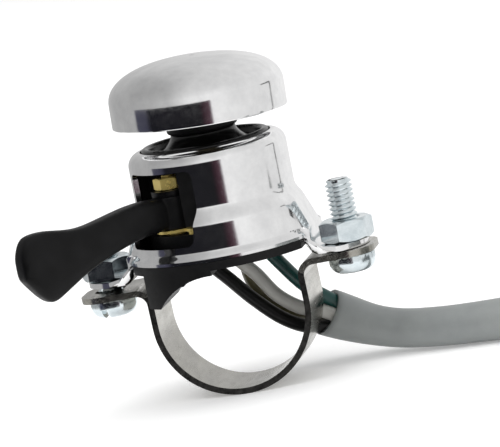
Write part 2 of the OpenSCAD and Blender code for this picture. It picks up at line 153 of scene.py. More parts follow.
def bevel(obj, width, segments, angle=32.0, material=-1):
    """Rounds the edges of an object, in millimetres. material is the slot its new faces take."""
    mod = obj.modifiers.new("round_edges", "BEVEL")
    mod.width = width * MM
    mod.segments = segments
    mod.limit_method = "ANGLE"
    mod.angle_limit = math.radians(angle)
    mod.harden_normals = True
    mod.material = material
    mod.miter_outer = "MITER_ARC"
    return obj


def apply_modifiers(obj):
    """Turns an object's modifiers into its mesh."""
    bpy.context.view_layer.update()
    graph = bpy.context.evaluated_depsgraph_get()
    mesh = bpy.data.meshes.new_from_object(obj.evaluated_get(graph))
    obj.modifiers.clear()
    obj.data = mesh
    return obj


def place(obj, offset=(0, 0, 0), turn_z=0.0):
    """Moves the mesh itself, so that the object stays at the origin."""
    turn = Matrix.Rotation(math.radians(turn_z), 4, "Z")
    obj.data.transform(Matrix.Translation(Vector(offset) * MM) @ turn)
    return obj


def cut(obj, cutter):
    """Subtracts a closed object and removes it."""
    mod = obj.modifiers.new("cut", "BOOLEAN")
    mod.object = cutter
    mod.operation = "DIFFERENCE"
    mod.solver = "EXACT"
    apply_modifiers(obj)
    bpy.data.objects.remove(cutter)
    return obj


def join_into(target, other):
    """Adds another object's mesh to target."""
    both = bmesh.new()
    both.from_mesh(target.data)
    both.from_mesh(other.data)
    both.to_mesh(target.data)
    both.free()
    bpy.data.objects.remove(other)
    for face in target.data.polygons:
        face.use_smooth = True
    return target


def box_mesh(name, low, high):
    (x0, y0, z0), (x1, y1, z1) = low, high
    points = [(x, y, z) for x in (x0, x1) for y in (y0, y1) for z in (z0, z1)]
    faces = [(0, 1, 3, 2), (4, 6, 7, 5), (0, 4, 5, 1), (2, 3, 7, 6), (0, 2, 6, 4), (1, 5, 7, 3)]
    return new_mesh(name, points, faces, smooth=False)


def curve_through(points, step):
    """A smooth line through the points (centripetal Catmull-Rom), as points about step apart."""
    p = [Vector(q) for q in points]
    p = [2 * p[0] - p[1]] + p + [2 * p[-1] - p[-2]]
    out = []
    for i in range(1, len(p) - 2):
        knots = [0.0]
        for a, b in ((p[i - 1], p[i]), (p[i], p[i + 1]), (p[i + 1], p[i + 2])):
            knots.append(knots[-1] + max(1e-6, (b - a).length) ** 0.5)
        count = max(2, round((p[i + 1] - p[i]).length / step))
        for k in range(count):
            t = mix(knots[1], knots[2], k / count)
            out.append(catmull(p[i - 1:i + 3], knots, t))
    out.append(p[-2].copy())
    return out


def catmull(p, knots, t):
    """The point at knot value t of the curve piece between the middle two of four points."""
    def part(a, b, ta, tb):
        return a * ((tb - t) / (tb - ta)) + b * ((t - ta) / (tb - ta))

    a1 = part(p[0], p[1], knots[0], knots[1])
    a2 = part(p[1], p[2], knots[1], knots[2])
    a3 = part(p[2], p[3], knots[2], knots[3])
    b1 = part(a1, a2, knots[0], knots[2])
    b2 = part(a2, a3, knots[1], knots[3])
    return part(b1, b2, knots[1], knots[2])


def frames_along(path):
    """Heading, side and up at each point, turned as little as possible from one to the next."""
    found = []
    side = None
    for i, p in enumerate(path):
        heading = (path[min(i + 1, len(path) - 1)] - path[max(i - 1, 0)]).normalized()
        if side is None:
            side = heading.cross(Vector((0, 0, 1)) if abs(heading.z) < 0.9 else Vector((0, 1, 0)))
        side = (side - heading * side.dot(heading)).normalized()
        found.append((heading, side, side.cross(heading)))
    return found


def capped_tube(name, points, sides):
    """Rings of points one after the other, skinned and closed at both ends."""
    rings = len(points) // sides
    faces = grid_faces(rings, sides)
    faces.append(tuple(range(sides)))
    faces.append(tuple((rings - 1) * sides + k for k in range(sides - 1, -1, -1)))
    return new_mesh(name, points, faces)


def round_tube(name, path, radius, sides):
    points = []
    for p, (_, side, up) in zip(path, frames_along(path)):
        for k in range(sides):
            a = 2 * math.pi * k / sides
            points.append(p + side * radius * math.cos(a) + up * radius * math.sin(a))
    return capped_tube(name, points, sides)


# ---------------------------------------------------------------- materials


def new_material(name):
    made = bpy.data.materials.new(name)
    made.use_nodes = True
    tree = made.node_tree
    shader = tree.nodes["Principled BSDF"]
    return made, tree, shader


def noise(tree, scale, detail, rough, stretch=None):
    """Noise on the object's own coordinates, with scale in waves per metre. stretch draws it out."""
    where = tree.nodes.new("ShaderNodeTexCoord").outputs["Object"]
    if stretch is not None:
        mapping = tree.nodes.new("ShaderNodeMapping")
        mapping.inputs["Scale"].default_value = stretch
        tree.links.new(where, mapping.inputs["Vector"])
        where = mapping.outputs["Vector"]
    made = tree.nodes.new("ShaderNodeTexNoise")
    made.inputs["Scale"].default_value = scale
    made.inputs["Detail"].default_value = detail
    made.inputs["Roughness"].default_value = rough
    tree.links.new(where, made.inputs["Vector"])
    return made.outputs["Fac"]


def ramp(tree, fac, stops):
    """Colours along fac, from stops of (place, colour)."""
    made = tree.nodes.new("ShaderNodeValToRGB")
    first, last = made.color_ramp.elements[0], made.color_ramp.elements[1]
    first.position, first.color = stops[0][0], (*stops[0][1], 1)
    last.position, last.color = stops[-1][0], (*stops[-1][1], 1)
    for at, colour in stops[1:-1]:
        made.color_ramp.elements.new(at).color = (*colour, 1)
    tree.links.new(fac, made.inputs["Fac"])
    return made.outputs["Color"]


def spread(tree, fac, low, high):
    """Maps the middle of a noise, where most of it lies, to low..high."""
    made = tree.nodes.new("ShaderNodeMapRange")
    made.inputs["From Min"].default_value = 0.3
    made.inputs["From Max"].default_value = 0.7
    made.inputs["To Min"].default_value = low
    made.inputs["To Max"].default_value = high
    tree.links.new(fac, made.inputs["Value"])
    return made.outputs["Result"]


def bump(tree, shader, fac, strength, distance):
    made = tree.nodes.new("ShaderNodeBump")
    made.inputs["Strength"].default_value = strength
    made.inputs["Distance"].default_value = distance * MM
    tree.links.new(fac, made.inputs["Height"])
    tree.links.new(made.outputs["Normal"], shader.inputs["Normal"])


def metal(name, dark, light, rough_low, rough_high, waves, grain, stretch=None, bare=1.0):
    """A metal whose colour and roughness drift a little. bare is less than 1 where its skin is dull."""
    made, tree, shader = new_material(name)
    shader.inputs["Metallic"].default_value = bare
    drift = noise(tree, waves, 5.0, 0.6, stretch)
    tree.links.new(ramp(tree, drift, [(0.3, dark), (0.7, light)]), shader.inputs["Base Color"])
    tree.links.new(spread(tree, noise(tree, waves * 3.1, 6.0, 0.6, stretch), rough_low, rough_high),
                   shader.inputs["Roughness"])
    bump(tree, shader, noise(tree, waves * 9.0, 3.0, 0.5, stretch), grain, 0.02)
    return made


def plastic(name, dark, light, rough_low, rough_high, waves, grain, depth=0.03, shine=0.5):
    """A moulded plastic or rubber with a drift of colour and a moulded grain."""
    made, tree, shader = new_material(name)
    drift = noise(tree, waves, 5.0, 0.6)
    tree.links.new(ramp(tree, drift, [(0.3, dark), (0.7, light)]), shader.inputs["Base Color"])
    tree.links.new(spread(tree, noise(tree, waves * 4.0, 5.0, 0.6), rough_low, rough_high),
                   shader.inputs["Roughness"])
    shader.inputs["Specular IOR Level"].default_value = shine
    bump(tree, shader, noise(tree, grain, 3.0, 0.6), 0.35, depth)
    return made


CHROME = metal("chrome", (0.78, 0.78, 0.785), (0.90, 0.90, 0.90), 0.06, 0.13, 420.0, 0.10)
NICKEL = metal("nickel", (0.27, 0.262, 0.235), (0.38, 0.368, 0.33), 0.16, 0.30, 420.0, 0.18,
               stretch=(1.0, 0.25, 1.0))
ZINC = metal("zinc", (0.58, 0.65, 0.68), (0.78, 0.84, 0.86), 0.12, 0.24, 500.0, 0.15)
BRASS = metal("brass", (0.76, 0.58, 0.16), (0.90, 0.72, 0.26), 0.18, 0.30, 300.0, 0.04, bare=0.6)
# Brass painted near-black: painted shade for the cap's boss, deep under the cap
SHADED_BRASS = metal("brass_painted_shade", (0.045, 0.038, 0.024), (0.08, 0.066, 0.04), 0.4, 0.6, 300.0, 0.2)
# Near-black steel: painted shade for the inside of the housing shell
SHADED_INSIDE_STEEL = metal("steel_painted_shade", (0.03, 0.03, 0.03), (0.06, 0.06, 0.06), 0.4, 0.6, 300.0, 0.2)
EDGE = metal("sheared_edge", (0.012, 0.012, 0.012), (0.06, 0.058, 0.055), 0.30, 0.5, 900.0, 0.5)
DARK_STEEL = metal("dark_steel", (0.018, 0.018, 0.019), (0.05, 0.05, 0.052), 0.25, 0.45, 500.0, 0.25)
SPRING = metal("spring_steel", (0.45, 0.45, 0.46), (0.62, 0.62, 0.63), 0.2, 0.32, 500.0, 0.15)
LEVER = plastic("lever_black", (0.002, 0.002, 0.0022), (0.006, 0.006, 0.0065), 0.34, 0.52,
                300.0, 5200.0, 0.05, shine=0.17)
MOULDING = plastic("moulding_black", (0.003, 0.003, 0.0032), (0.006, 0.006, 0.0065), 0.38, 0.55,
                   250.0, 4200.0, shine=0.2)
BOOT = plastic("boot_black", (0.002, 0.002, 0.002), (0.004, 0.004, 0.004), 0.16, 0.28,
               180.0, 900.0, 0.012, shine=0.35)
WIRE_BLACK = plastic("pvc_black", (0.004, 0.004, 0.004), (0.010, 0.010, 0.009), 0.28, 0.42,
                     250.0, 1300.0, shine=0.3)
WIRE_WHITE = plastic("pvc_white", (0.46, 0.455, 0.42), (0.60, 0.595, 0.56), 0.32, 0.45, 250.0, 1300.0)
WIRE_GREEN = plastic("pvc_green", (0.003, 0.042, 0.036), (0.008, 0.085, 0.075), 0.26, 0.4, 250.0, 1300.0)
WIRE_OLIVE = plastic("pvc_olive", (0.085, 0.075, 0.03), (0.14, 0.125, 0.06), 0.3, 0.42, 250.0, 1300.0)
SLEEVE = plastic("pvc_grey", (0.215, 0.23, 0.23), (0.28, 0.295, 0.29), 0.36, 0.5, 140.0, 1500.0, 0.05)
TIE = plastic("tie_black", (0.006, 0.006, 0.006), (0.012, 0.012, 0.012), 0.35, 0.5, 300.0, 3000.0)


def paint(obj, material):
    """Gives an object one material in place of any that it has."""
    obj.data.materials.clear()
    obj.data.materials.append(material)
    return obj


def keep(obj, body, material, slot, *replaced):
    """Gives a finished piece its body, its material and the CAD nodes that it stands for. slot is not used.
    """
    paint(obj, material)
    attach(obj, body)
    if replaced:
        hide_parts(*replaced)
    return obj


# ---------------------------------------------------------------- CAD nodes that stay

# Each kept node's material, and how much its edges are rounded
KEPT = {
    "base_saddle": (MOULDING, 0.25), "switch_block": (MOULDING, 0.12), "base_screws": (ZINC, 0.1),
    "terminals": (BRASS, 0.08), "pivot_pin": (BRASS, 0.08), "pivot_spring_washer": (DARK_STEEL, 0.12),
    "moving_contact": (BRASS, 0.06), "fixed_contacts": (BRASS, 0.06), "detent_ball": (SPRING, 0.0),
    "detent_spring": (SPRING, 0.0), "cap_boss": (SHADED_BRASS, 0.12), "plunger_screw": (BRASS, 0.1),
    "contact_disc": (BRASS, 0.08), "contact_blade": (BRASS, 0.06), "clamp_strap": (NICKEL, 0.14),
}
# The strap's ears start at this height
STRAP_EAR_LOW = 8.0


def darken_sheared_edges(strap):
    """The cut edges of the strap's loop are painted a near-black metal; its faces and ears keep the nickel.
    """
    strap.data.materials.append(EDGE)
    for face in strap.data.polygons:
        if abs(face.normal.y) > 0.8 and face.center.z < STRAP_EAR_LOW * MM:
            face.material_index = 1


def dress_kept_nodes():
    for name, (material, edge) in KEPT.items():
        obj = paint(nodes[name], material)
        for face in obj.data.polygons:
            face.use_smooth = True
        sharpen(obj, 30.0)
        if name == "clamp_strap":
            darken_sheared_edges(obj)
        if edge:
            bevel(obj, edge, 3, 35.0, material=0)


dress_kept_nodes()

# ---------------------------------------------------------------- housing

SHELL_R, SHELL_T = 11.85, 0.8
SHOULDER_R, SHOULDER_Z = 2.0, 26.97
FLARE_TOP, FLARE_LOW, FLARE_R = 21.0, 18.0, 13.2
SKIRT_R, SKIRT_LOW = 13.85, 14.25
RIM_R, RIM_Z, RIM_EDGE = 14.5, 13.15, 0.45
EAR_TOP, EAR_X, EAR_HALF, EAR_WALL, EAR_TURN = 10.95, 21.4, 5.5, 13.95, 1.2
# Degrees off the X axis where an ear's wall ends, and where the wall has faded into the round skirt
EAR_OFF, EAR_FADE = 23.5, 36.0
# The same for the flat of an ear: where its side is, where it ends, and how fast it turns into the rim
FLAT_SIDE, FLAT_END, FLAT_FADE = 22.5, 25.5, 4.0
WINDOW_TURN = math.radians(34.0)
WINDOW_HALF, WINDOW_LOW, WINDOW_HIGH, WINDOW_CORNER = 6.2, 15.55, 26.35, 1.0
SCREW_X, SCREW_HOLE_R = 18.4, 2.2


def shell_profile():
    """The outside of the round shell from the lip down to the foot of the skirt, as (radius, z)."""
    out = arc(SHELL_R - SHOULDER_R, SHOULDER_Z, SHOULDER_R, 91.0, 0.0, 16)
    z = SHOULDER_Z
    while z > RIM_Z + 1.6:
        z -= 0.28
        if z > FLARE_TOP:
            r = SHELL_R
        elif z > FLARE_LOW:
            r = mix(SHELL_R, FLARE_R, ease((FLARE_TOP - z) / (FLARE_TOP - FLARE_LOW)))
        else:
            r = mix(FLARE_R, SKIRT_R, (FLARE_LOW - z) / (FLARE_LOW - SKIRT_LOW))
        out.append((r, z))
    return out


def ear_radius(theta, z):
    """The wall above an ear: straight from the waist down to a flat face at the ear's trough."""
    down = ease((FLARE_TOP - z) / 2.4) * (FLARE_TOP - z) / (FLARE_TOP - SKIRT_LOW)
    return mix(SHELL_R, min(EAR_WALL / abs(math.cos(theta)), RIM_R), min(1.0, down))


def degrees_off_x(theta):
    return math.degrees(math.acos(min(1.0, abs(math.cos(theta)))))


def rim_rows(theta, count):
    """The rows below the skirt: a small rim, or the wall, bend and flat of an ear near the X axis."""
    start_r, start_z = shell_profile()[-1]
    edge_z = RIM_Z + RIM_EDGE
    rim = [(mix(start_r, RIM_R, ease(k / 6)), mix(start_z, edge_z, k / 6)) for k in range(1, 7)]
    rim += [(RIM_R + 0.02, mix(edge_z, RIM_Z, k / (count - 6))) for k in range(1, count - 5)]
    side = math.cos(theta)
    off = degrees_off_x(theta)
    weight = ease((FLAT_END - off) / FLAT_FADE)
    y = EAR_HALF * min(1.0, off / FLAT_SIDE) * math.copysign(1.0, math.sin(theta))
    reach = EAR_X - EAR_HALF + math.sqrt(max(0.0, EAR_HALF ** 2 - y ** 2))
    ear = [(EAR_WALL, mix(start_z, EAR_TOP + EAR_TURN, k / 5)) for k in range(1, 6)]
    ear += [(x, z) for x, z in arc(EAR_WALL + EAR_TURN, EAR_TOP + EAR_TURN, EAR_TURN, 180.0, 270.0, 8)[1:]]
    left = count - len(ear)
    ear += [(mix(EAR_WALL + EAR_TURN, reach, k / left), EAR_TOP) for k in range(1, left + 1)]
    rows = []
    for (r, z), (x, ze) in zip(rim, ear):
        plain = Vector((r * math.cos(theta), r * math.sin(theta), z))
        eared = Vector((math.copysign(x, side), y, ze))
        rows.append(plain.lerp(eared, weight))
    return rows


def window_snap(x, z):
    """The nearest point on the window's outline, in its own plane, and how far inside (x, z) lies."""
    mid = (WINDOW_LOW + WINDOW_HIGH) / 2
    half = (WINDOW_HIGH - WINDOW_LOW) / 2
    dx = abs(x) - (WINDOW_HALF - WINDOW_CORNER)
    dz = abs(z - mid) - (half - WINDOW_CORNER)
    if dx > 0 and dz > 0:
        far = math.hypot(dx, dz)
        k = WINDOW_CORNER / far
        nx, nz = WINDOW_HALF - WINDOW_CORNER + dx * k, half - WINDOW_CORNER + dz * k
        inside = WINDOW_CORNER - far
    elif dx > dz:
        nx, nz, inside = WINDOW_HALF, abs(z - mid), WINDOW_CORNER - dx
    else:
        nx, nz, inside = abs(x), half, WINDOW_CORNER - dz
    return math.copysign(nx, x), mid + math.copysign(nz, z - mid), inside


def wall_radius(r, theta, z):
    """The round profile's radius r, changed near the X axis for the wall above an ear."""
    if z >= FLARE_TOP:
        return r
    return mix(r, ear_radius(theta, z), ease((EAR_FADE - degrees_off_x(theta)) / (EAR_FADE - EAR_OFF)))


def radius_at(theta, z, profile):
    """The wall's radius at a height inside the profile."""
    for (r0, z0), (r1, z1) in zip(profile, profile[1:]):
        if z1 <= z <= z0:
            return wall_radius(mix(r0, r1, (z0 - z) / max(1e-6, z0 - z1)), theta, z)


def make_housing():
    """A turned grid whose lowest rows run out into the ears, with the window cut along snapped points."""
    columns, low_rows = 480, 36
    profile = shell_profile()
    rows = [[] for _ in range(len(profile) + low_rows)]
    for j in range(columns):
        theta = 2 * math.pi * j / columns
        for i, (outline_r, z) in enumerate(profile):
            r = wall_radius(outline_r, theta, z)
            rows[i].append(Vector((r * math.cos(theta), r * math.sin(theta), z)))
        for i, p in enumerate(rim_rows(theta, low_rows)):
            rows[len(profile) + i].append(p)
    points = [p for row in rows for p in row]
    faces = grid_faces(len(rows), columns)
    across = Vector((math.cos(WINDOW_TURN), -math.sin(WINDOW_TURN), 0))
    out = Vector((-math.sin(WINDOW_TURN), -math.cos(WINDOW_TURN), 0))

    def inside(p):
        return window_snap(p.dot(across), p.z)[2] if p.dot(out) > 0 else -1.0

    kept, gone = [], []
    for f in faces:
        middle = (points[f[0]] + points[f[1]] + points[f[2]] + points[f[3]]) / 4
        (gone if inside(middle) > 0 else kept).append(f)
    for k in {k for f in kept for k in f} & {k for f in gone for k in f}:
        x, z, _ = window_snap(points[k].dot(across), points[k].z)
        r = radius_at(math.atan2(points[k].y, points[k].x), z, profile)
        points[k] = across * x + out * math.sqrt(r * r - x * x) + Vector((0, 0, z))
    housing = new_mesh("housing_shell", points, kept)
    wall = housing.modifiers.new("wall", "SOLIDIFY")
    wall.thickness = SHELL_T * MM
    wall.offset = -1.0
    apply_modifiers(housing)
    for s in (-1, 1):
        hole = lathe("hole", [(0, 5), (SCREW_HOLE_R, 5), (SCREW_HOLE_R, 15), (0, 15)], 48, closed=False)
        cut(housing, place(hole, (s * SCREW_X, 0, 0)))
    bevel(housing, 0.14, 3, 40.0)
    apply_modifiers(housing)
    for face in housing.data.polygons:
        face.use_smooth = True
    keep(housing, "body", CHROME, "chrome", "housing")
    # Painted shade: the inside of the shell takes a near-black steel for the dark inside of the housing;
    # the chrome is on its outside
    housing.data.materials.append(SHADED_INSIDE_STEEL)
    for face in housing.data.polygons:
        inward = face.normal.x * face.center.x + face.normal.y * face.center.y < 0
        if inward and RIM_Z * MM < face.center.z < (SHOULDER_Z + 0.9) * MM:
            face.material_index = 1


make_housing()

# ---------------------------------------------------------------- horn push

CAP_R, CAP_LOW, CAP_T = 13.05, 32.65, 0.9
CAP_SKIRT, CAP_DOME = 3.4, 5.7
CAP_SEAT, CAP_LEAN = 33.1, 2.0


def crown(r_max, height, base):
    """A flattened dome from its side to its top, as (radius, z)."""
    power, steps = 0.86, 40
    out = []
    for i in range(steps + 1):
        a = math.radians(90.0 * i / steps)
        out.append((r_max * math.cos(a) ** power, base + height * math.sin(a) ** power))
    return out


def make_cap():
    """A thin dome on an upright skirt, a little tilted on its stem."""
    base = CAP_LOW + CAP_SKIRT
    outer = [(CAP_R - 0.12, CAP_LOW), (CAP_R - 0.03, CAP_LOW + 0.05), (CAP_R, CAP_LOW + 0.16)]
    outer += [(CAP_R, CAP_LOW + 0.16 + (base - CAP_LOW - 0.16) * k / 8) for k in range(1, 8)]
    outer += crown(CAP_R, CAP_DOME, base)
    inner_r = CAP_R - CAP_T
    inner = list(reversed(crown(inner_r, CAP_DOME - CAP_T, base)))
    inner += [(inner_r, base - 1.5), (inner_r, CAP_LOW + 0.1), (inner_r + 0.1, CAP_LOW)]
    cap = lathe("horn_cap_dome", outer + inner, 192)
    seat = Matrix.Translation((0, 0, CAP_SEAT * MM))
    cap.data.transform(seat @ Matrix.Rotation(math.radians(CAP_LEAN), 4, "Y") @ seat.inverted())
    keep(cap, "button", CHROME, "chrome", "horn_cap")


def make_plunger():
    """The black stem with its collar, bored for the screw."""
    outline = [(0.96, 20.95), (2.3, 20.9), (2.5, 21.1), (2.5, 30.7), (4.9, 30.72), (5.2, 30.85)]
    outline += [(5.3, 31.1), (5.3, 31.75), (5.15, 31.9), (5.0, 32.0), (5.0, 32.9)]
    outline += [(4.8, CAP_SEAT), (0.96, CAP_SEAT)]
    stem = lathe("horn_stem", outline, 96)
    bevel(stem, 0.08, 2)
    keep(apply_modifiers(stem), "button", MOULDING, "black_moulding", "horn_plunger")


def make_boot():
    """The boot from its neck round the stem down to its flange, which sits in the lip."""
    way = [k / 24 for k in range(25)]
    outline = [(4.85 + 2.85 * t ** 1.5, 30.65 - 2.85 * t ** 0.75) for t in way]
    outline += [(7.95, 27.84), (8.15, 27.95), (8.36, 28.3)] + arc(9.0, 28.8, 0.6, 172, 0, 14)
    outline += [(9.6, 28.3), (9.62, 27.75), (10.25, 27.6), (10.85, 27.05), (10.85, 26.3)]
    outline += [(9.4, 26.3), (8.4, 26.75)]
    outline += [(3.95 + 3.05 * t ** 1.5, 30.65 - 3.6 * t ** 0.75) for t in reversed(way)]
    outline += [(4.1, 30.75), (4.6, 30.78)]
    boot = lathe("rubber_boot", outline, 128)
    paint(boot, BOOT)
    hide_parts("horn_boot")
    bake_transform(boot)


def make_horn_spring():
    """The spring's coil, from its lower end on the block up to its upper end under the stem."""
    radius, low, high, turns, steps = 3.35, 26.57, 30.33, 4, 40
    path = []
    for k in range(turns * steps + 1):
        a = 2 * math.pi * k / steps
        z = mix(low, high, k / (turns * steps))
        path.append(Vector((radius * math.cos(a), radius * math.sin(a), z)))
    coil = round_tube("return_spring", path, 0.35, 12)
    paint(coil, SPRING)
    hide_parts("horn_spring")
    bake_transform(coil)


make_cap()
make_plunger()
make_boot()
make_horn_spring()

# ---------------------------------------------------------------- dip lever

PIVOT = Vector((-5.1, -6.4, 0))
# Degrees from the X axis to the arm
LEVER_TURN = -134.0
HUB_R, HUB_LOW, HUB_TOP, HUB_BORE = 2.95, 17.75, 22.75, 1.56
# Stations along the arm: distance from the pivot, top, bottom, half thickness
LEVER_STATIONS = [
    (1.4, 22.55, 17.95, 1.9), (3.0, 22.75, 17.85, 1.95), (6.3, 22.95, 17.75, 2.0),
    (9.0, 22.72, 17.35, 2.0), (11.4, 22.4, 16.85, 2.0), (13.8, 22.05, 16.25, 1.95),
    (16.0, 21.8, 15.6, 1.9), (18.0, 21.85, 14.75, 1.85), (20.0, 22.2, 13.8, 1.8),
    (22.0, 22.62, 12.85, 1.75), (23.2, 22.78, 12.35, 1.7), (24.3, 22.82, 12.5, 1.68),
    (25.6, 22.75, 13.75, 1.62), (26.6, 22.35, 15.05, 1.52), (27.35, 20.9, 16.05, 1.4),
    (27.75, 19.5, 16.7, 1.25),
]


def make_lever():
    """The arm through its stations, joined to the hub with a soft fillet, and bored for the pivot."""
    sides = 40
    points = []
    for s, top, low, half in LEVER_STATIONS:
        for k in range(sides):
            a = 2 * math.pi * k / sides
            c, d = math.cos(a), math.sin(a)
            y = half * math.copysign(abs(c) ** 0.55, c)
            z = (top + low) / 2 + (top - low) / 2 * math.copysign(abs(d) ** 0.5, d)
            points.append((s, y, z))
    arm = capped_tube("arm", points, sides)
    fine = arm.modifiers.new("fine", "SUBSURF")
    fine.levels = 2
    apply_modifiers(arm)
    edge = 0.15
    outline = [(0, HUB_LOW), (HUB_R - edge, HUB_LOW), (HUB_R, HUB_LOW + edge)]
    outline += [(HUB_R, HUB_TOP - edge), (HUB_R - edge, HUB_TOP), (0, HUB_TOP)]
    hub = lathe("dip_lever_moulding", outline, 96, closed=False)
    join = hub.modifiers.new("join", "BOOLEAN")
    join.object = arm
    join.operation = "UNION"
    join.solver = "EXACT"
    apply_modifiers(hub)
    bpy.data.objects.remove(arm)
    soft = hub.modifiers.new("soft", "REMESH")
    soft.mode = "VOXEL"
    soft.voxel_size = 0.16 * MM
    relax = hub.modifiers.new("relax", "SMOOTH")
    relax.factor = 0.5
    relax.iterations = 6
    apply_modifiers(hub)
    bore = lathe("bore", [(0, 10), (HUB_BORE, 10), (HUB_BORE, 30), (0, 30)], 64, closed=False)
    cut(hub, bore)
    for face in hub.data.polygons:
        face.use_smooth = True
    sharpen(hub, 50.0)
    place(hub, PIVOT, LEVER_TURN)
    keep(hub, "lever", LEVER, "black_lever", "dip_lever")


make_lever()

# ---------------------------------------------------------------- nuts and screws

SCREW_LOW, SCREW_TOP, LEFT_DROP = 6.55, 20.05, 0.9
SCREW_R, PITCH = 2.0, 0.7
NUT_FLATS, NUT_HEIGHT, NUT_BORE = 7.0, 3.2, 2.05
PIVOT_NUT_FLATS, PIVOT_NUT_HEIGHT, PIVOT_NUT_BORE, PIVOT_NUT_Z = 4.0, 1.8, 1.05, 23.65


def hex_nut(name, flats, height, bore):
    """A hexagon nut standing on z = 0, with turned chamfers that leave the usual arcs on its flats."""
    segments, mouth = 144, 0.25
    start_r = flats / 2 * 0.96
    slope = math.tan(math.radians(30.0))
    points = []

    def edge(k):
        a = 2 * math.pi * k / segments
        return a, flats / 2 / math.cos((a + math.pi / 6) % (math.pi / 3) - math.pi / 6)

    def row(radius_of, z_of):
        for k in range(segments):
            a, full = edge(k)
            r = radius_of(full)
            points.append((r * math.cos(a), r * math.sin(a), z_of(r)))

    row(lambda full: bore, lambda r: mouth)
    row(lambda full: bore + mouth, lambda r: 0.0)
    row(lambda full: start_r, lambda r: 0.0)
    row(lambda full: full, lambda r: max(0.0, r - start_r) * slope)
    row(lambda full: full, lambda r: height / 2)
    row(lambda full: full, lambda r: height - max(0.0, r - start_r) * slope)
    row(lambda full: start_r, lambda r: height)
    row(lambda full: bore + mouth, lambda r: height)
    row(lambda full: bore, lambda r: height - mouth)
    nut = new_mesh(name, points, grid_faces(9, segments, closed_rows=True))
    return sharpen(nut, 22.0)


def thread(name, major, pitch, low, high):
    """A real helical thread with a chamfered tip and a core rod inside it, from low to high."""
    steps, depth, tip = 48, 0.6 * pitch, 0.45
    shape = [(0.0, 0.0), (0.08, 0.0), (0.45, depth), (0.55, depth), (0.92, 0.0)]
    turns = int((high - low) / pitch) + 2
    points, count = [], turns * len(shape)
    for k in range(steps):
        a = 2 * math.pi * k / steps
        for n in range(count):
            turn, which = divmod(n, len(shape))
            along, deep = shape[which]
            z = low - pitch + (turn + along + k / steps) * pitch
            r = major - deep
            if z > high - tip:
                r = min(r, major - depth * (z - high + tip) / tip)
            z = min(high, max(low, z))
            points.append((r * math.cos(a), r * math.sin(a), z))
    faces = []
    for k in range(steps):
        for n in range(count - 1):
            if k < steps - 1:
                a, b = k * count + n, (k + 1) * count + n
                faces.append((a, b, b + 1, a + 1))
            elif n + len(shape) + 1 < count:
                a, b = k * count + n, n + len(shape)
                faces.append((a, b, b + 1, a + 1))
    core = major - depth + 0.02
    made = new_mesh(name, points, faces)
    rod = lathe("core", [(0, low), (core, low), (core, high), (0, high)], steps, closed=False)
    join_into(made, rod)
    return sharpen(made, 30.0)


def pan_screw(name, low, top, x, slot_turn):
    """A slotted pan-head screw standing head down."""
    half_slot, slot_depth = 0.45, 1.05
    head = [(0, low), (1.2, low + 0.03)] + arc(1.8, low + 1.3, 1.7, -72, 0, 10)
    head += [(3.5, low + 2.2), (3.4, low + 2.3), (SCREW_R, low + 2.3), (SCREW_R, low + 2.6), (0, low + 2.6)]
    made = lathe(name, head, 96, closed=False)
    slot = box_mesh("slot", (-5, -half_slot, low - 1), (5, half_slot, low + slot_depth))
    cut(made, place(slot, turn_z=slot_turn))
    bevel(made, 0.07, 2, 40.0)
    apply_modifiers(made)
    join_into(made, thread("thread", SCREW_R, PITCH, low + 2.5, top))
    sharpen(made, 35.0)
    return place(made, (x, 0, 0))


def make_fasteners():
    right = pan_screw("screw_right", SCREW_LOW, SCREW_TOP, SCREW_X, 20.0)
    left = pan_screw("screw_left", SCREW_LOW - LEFT_DROP, SCREW_TOP - LEFT_DROP, -SCREW_X, 75.0)
    keep(right, "clamp", ZINC, "zinc", "clamp_screw_right")
    keep(left, "clamp", ZINC, "zinc", "clamp_screw_left")
    for name, x, turn in (("right", SCREW_X, 50.0), ("left", -SCREW_X, 26.0)):
        nut = place(hex_nut("nut_" + name, NUT_FLATS, NUT_HEIGHT, NUT_BORE), (x, 0, EAR_TOP), turn)
        keep(nut, "body", ZINC, "zinc", "clamp_nut_" + name)
    small = hex_nut("lever_nut", PIVOT_NUT_FLATS, PIVOT_NUT_HEIGHT, PIVOT_NUT_BORE)
    place(small, (PIVOT.x, PIVOT.y, PIVOT_NUT_Z), 40.0)
    keep(small, "body", BRASS, "brass", "pivot_nut")


make_fasteners()

# ---------------------------------------------------------------- wires and cable

BAR_R, STRAP_T, STRAP_LIFT = 11.1, 0.9, 3.45
FLOOR = STRAP_LIFT - BAR_R - STRAP_T
SLEEVE_R, WIRE_R = 3.2, 1.05
LIE = FLOOR + SLEEVE_R
HANK_X, HANK_Y, FOLD_R, HANK_RUN, TOP_RUN = 71.0, -10.0, 19.2, 59.0, 55.0
TIE_X = 98.0
ROUTES = {
    "black": [
        (-5.2, 7.2, 14.2), (-5.2, 7.2, 10.8), (-4.4, 7.7, 9.2), (-2.3, 8, 6.7), (1, 8, 2.9),
        (4.6, 8.1, -0.5), (7.5, 8.6, -2.3), (10.4, 9.6, -3.2), (14, 10, -4), (18, 9.7, -5.65),
        (22, 9, -6.6),
    ],
    "white": [
        (-1.4, 7.8, 14.2), (-1.4, 7.8, 11.6), (-0.4, 7.9, 9.6), (2.1, 8, 6.6), (4.5, 8, 3.1),
        (7.7, 8.1, 0.6), (11.4, 8.9, -0.9), (14, 8.5, -2.45), (18, 8.15, -4.1), (22, 7.45, -5.05),
    ],
    "green": [
        (3.6, 7.6, 14.2), (3.6, 7.6, 12), (4.5, 7.9, 10), (6.3, 8, 7.3), (8.9, 8.4, 3.8),
        (12.1, 9.6, 0.9), (14.3, 10, -0.95), (18.4, 9.7, -2.6), (22, 9, -3.5), (26, 7.7, -3.9),
    ],
    "olive": [
        (1.1, 9.6, 14.2), (1.1, 9.6, 11.5), (0.3, 10.5, 8.6), (0.8, 10.5, 5), (3.1, 10.5, 1.9),
        (6.4, 10.8, -0.4), (11.2, 11.6, -1.5), (14, 11.55, -2.45), (18, 11.25, -4.1), (22, 10.55, -5.05),
    ],
}
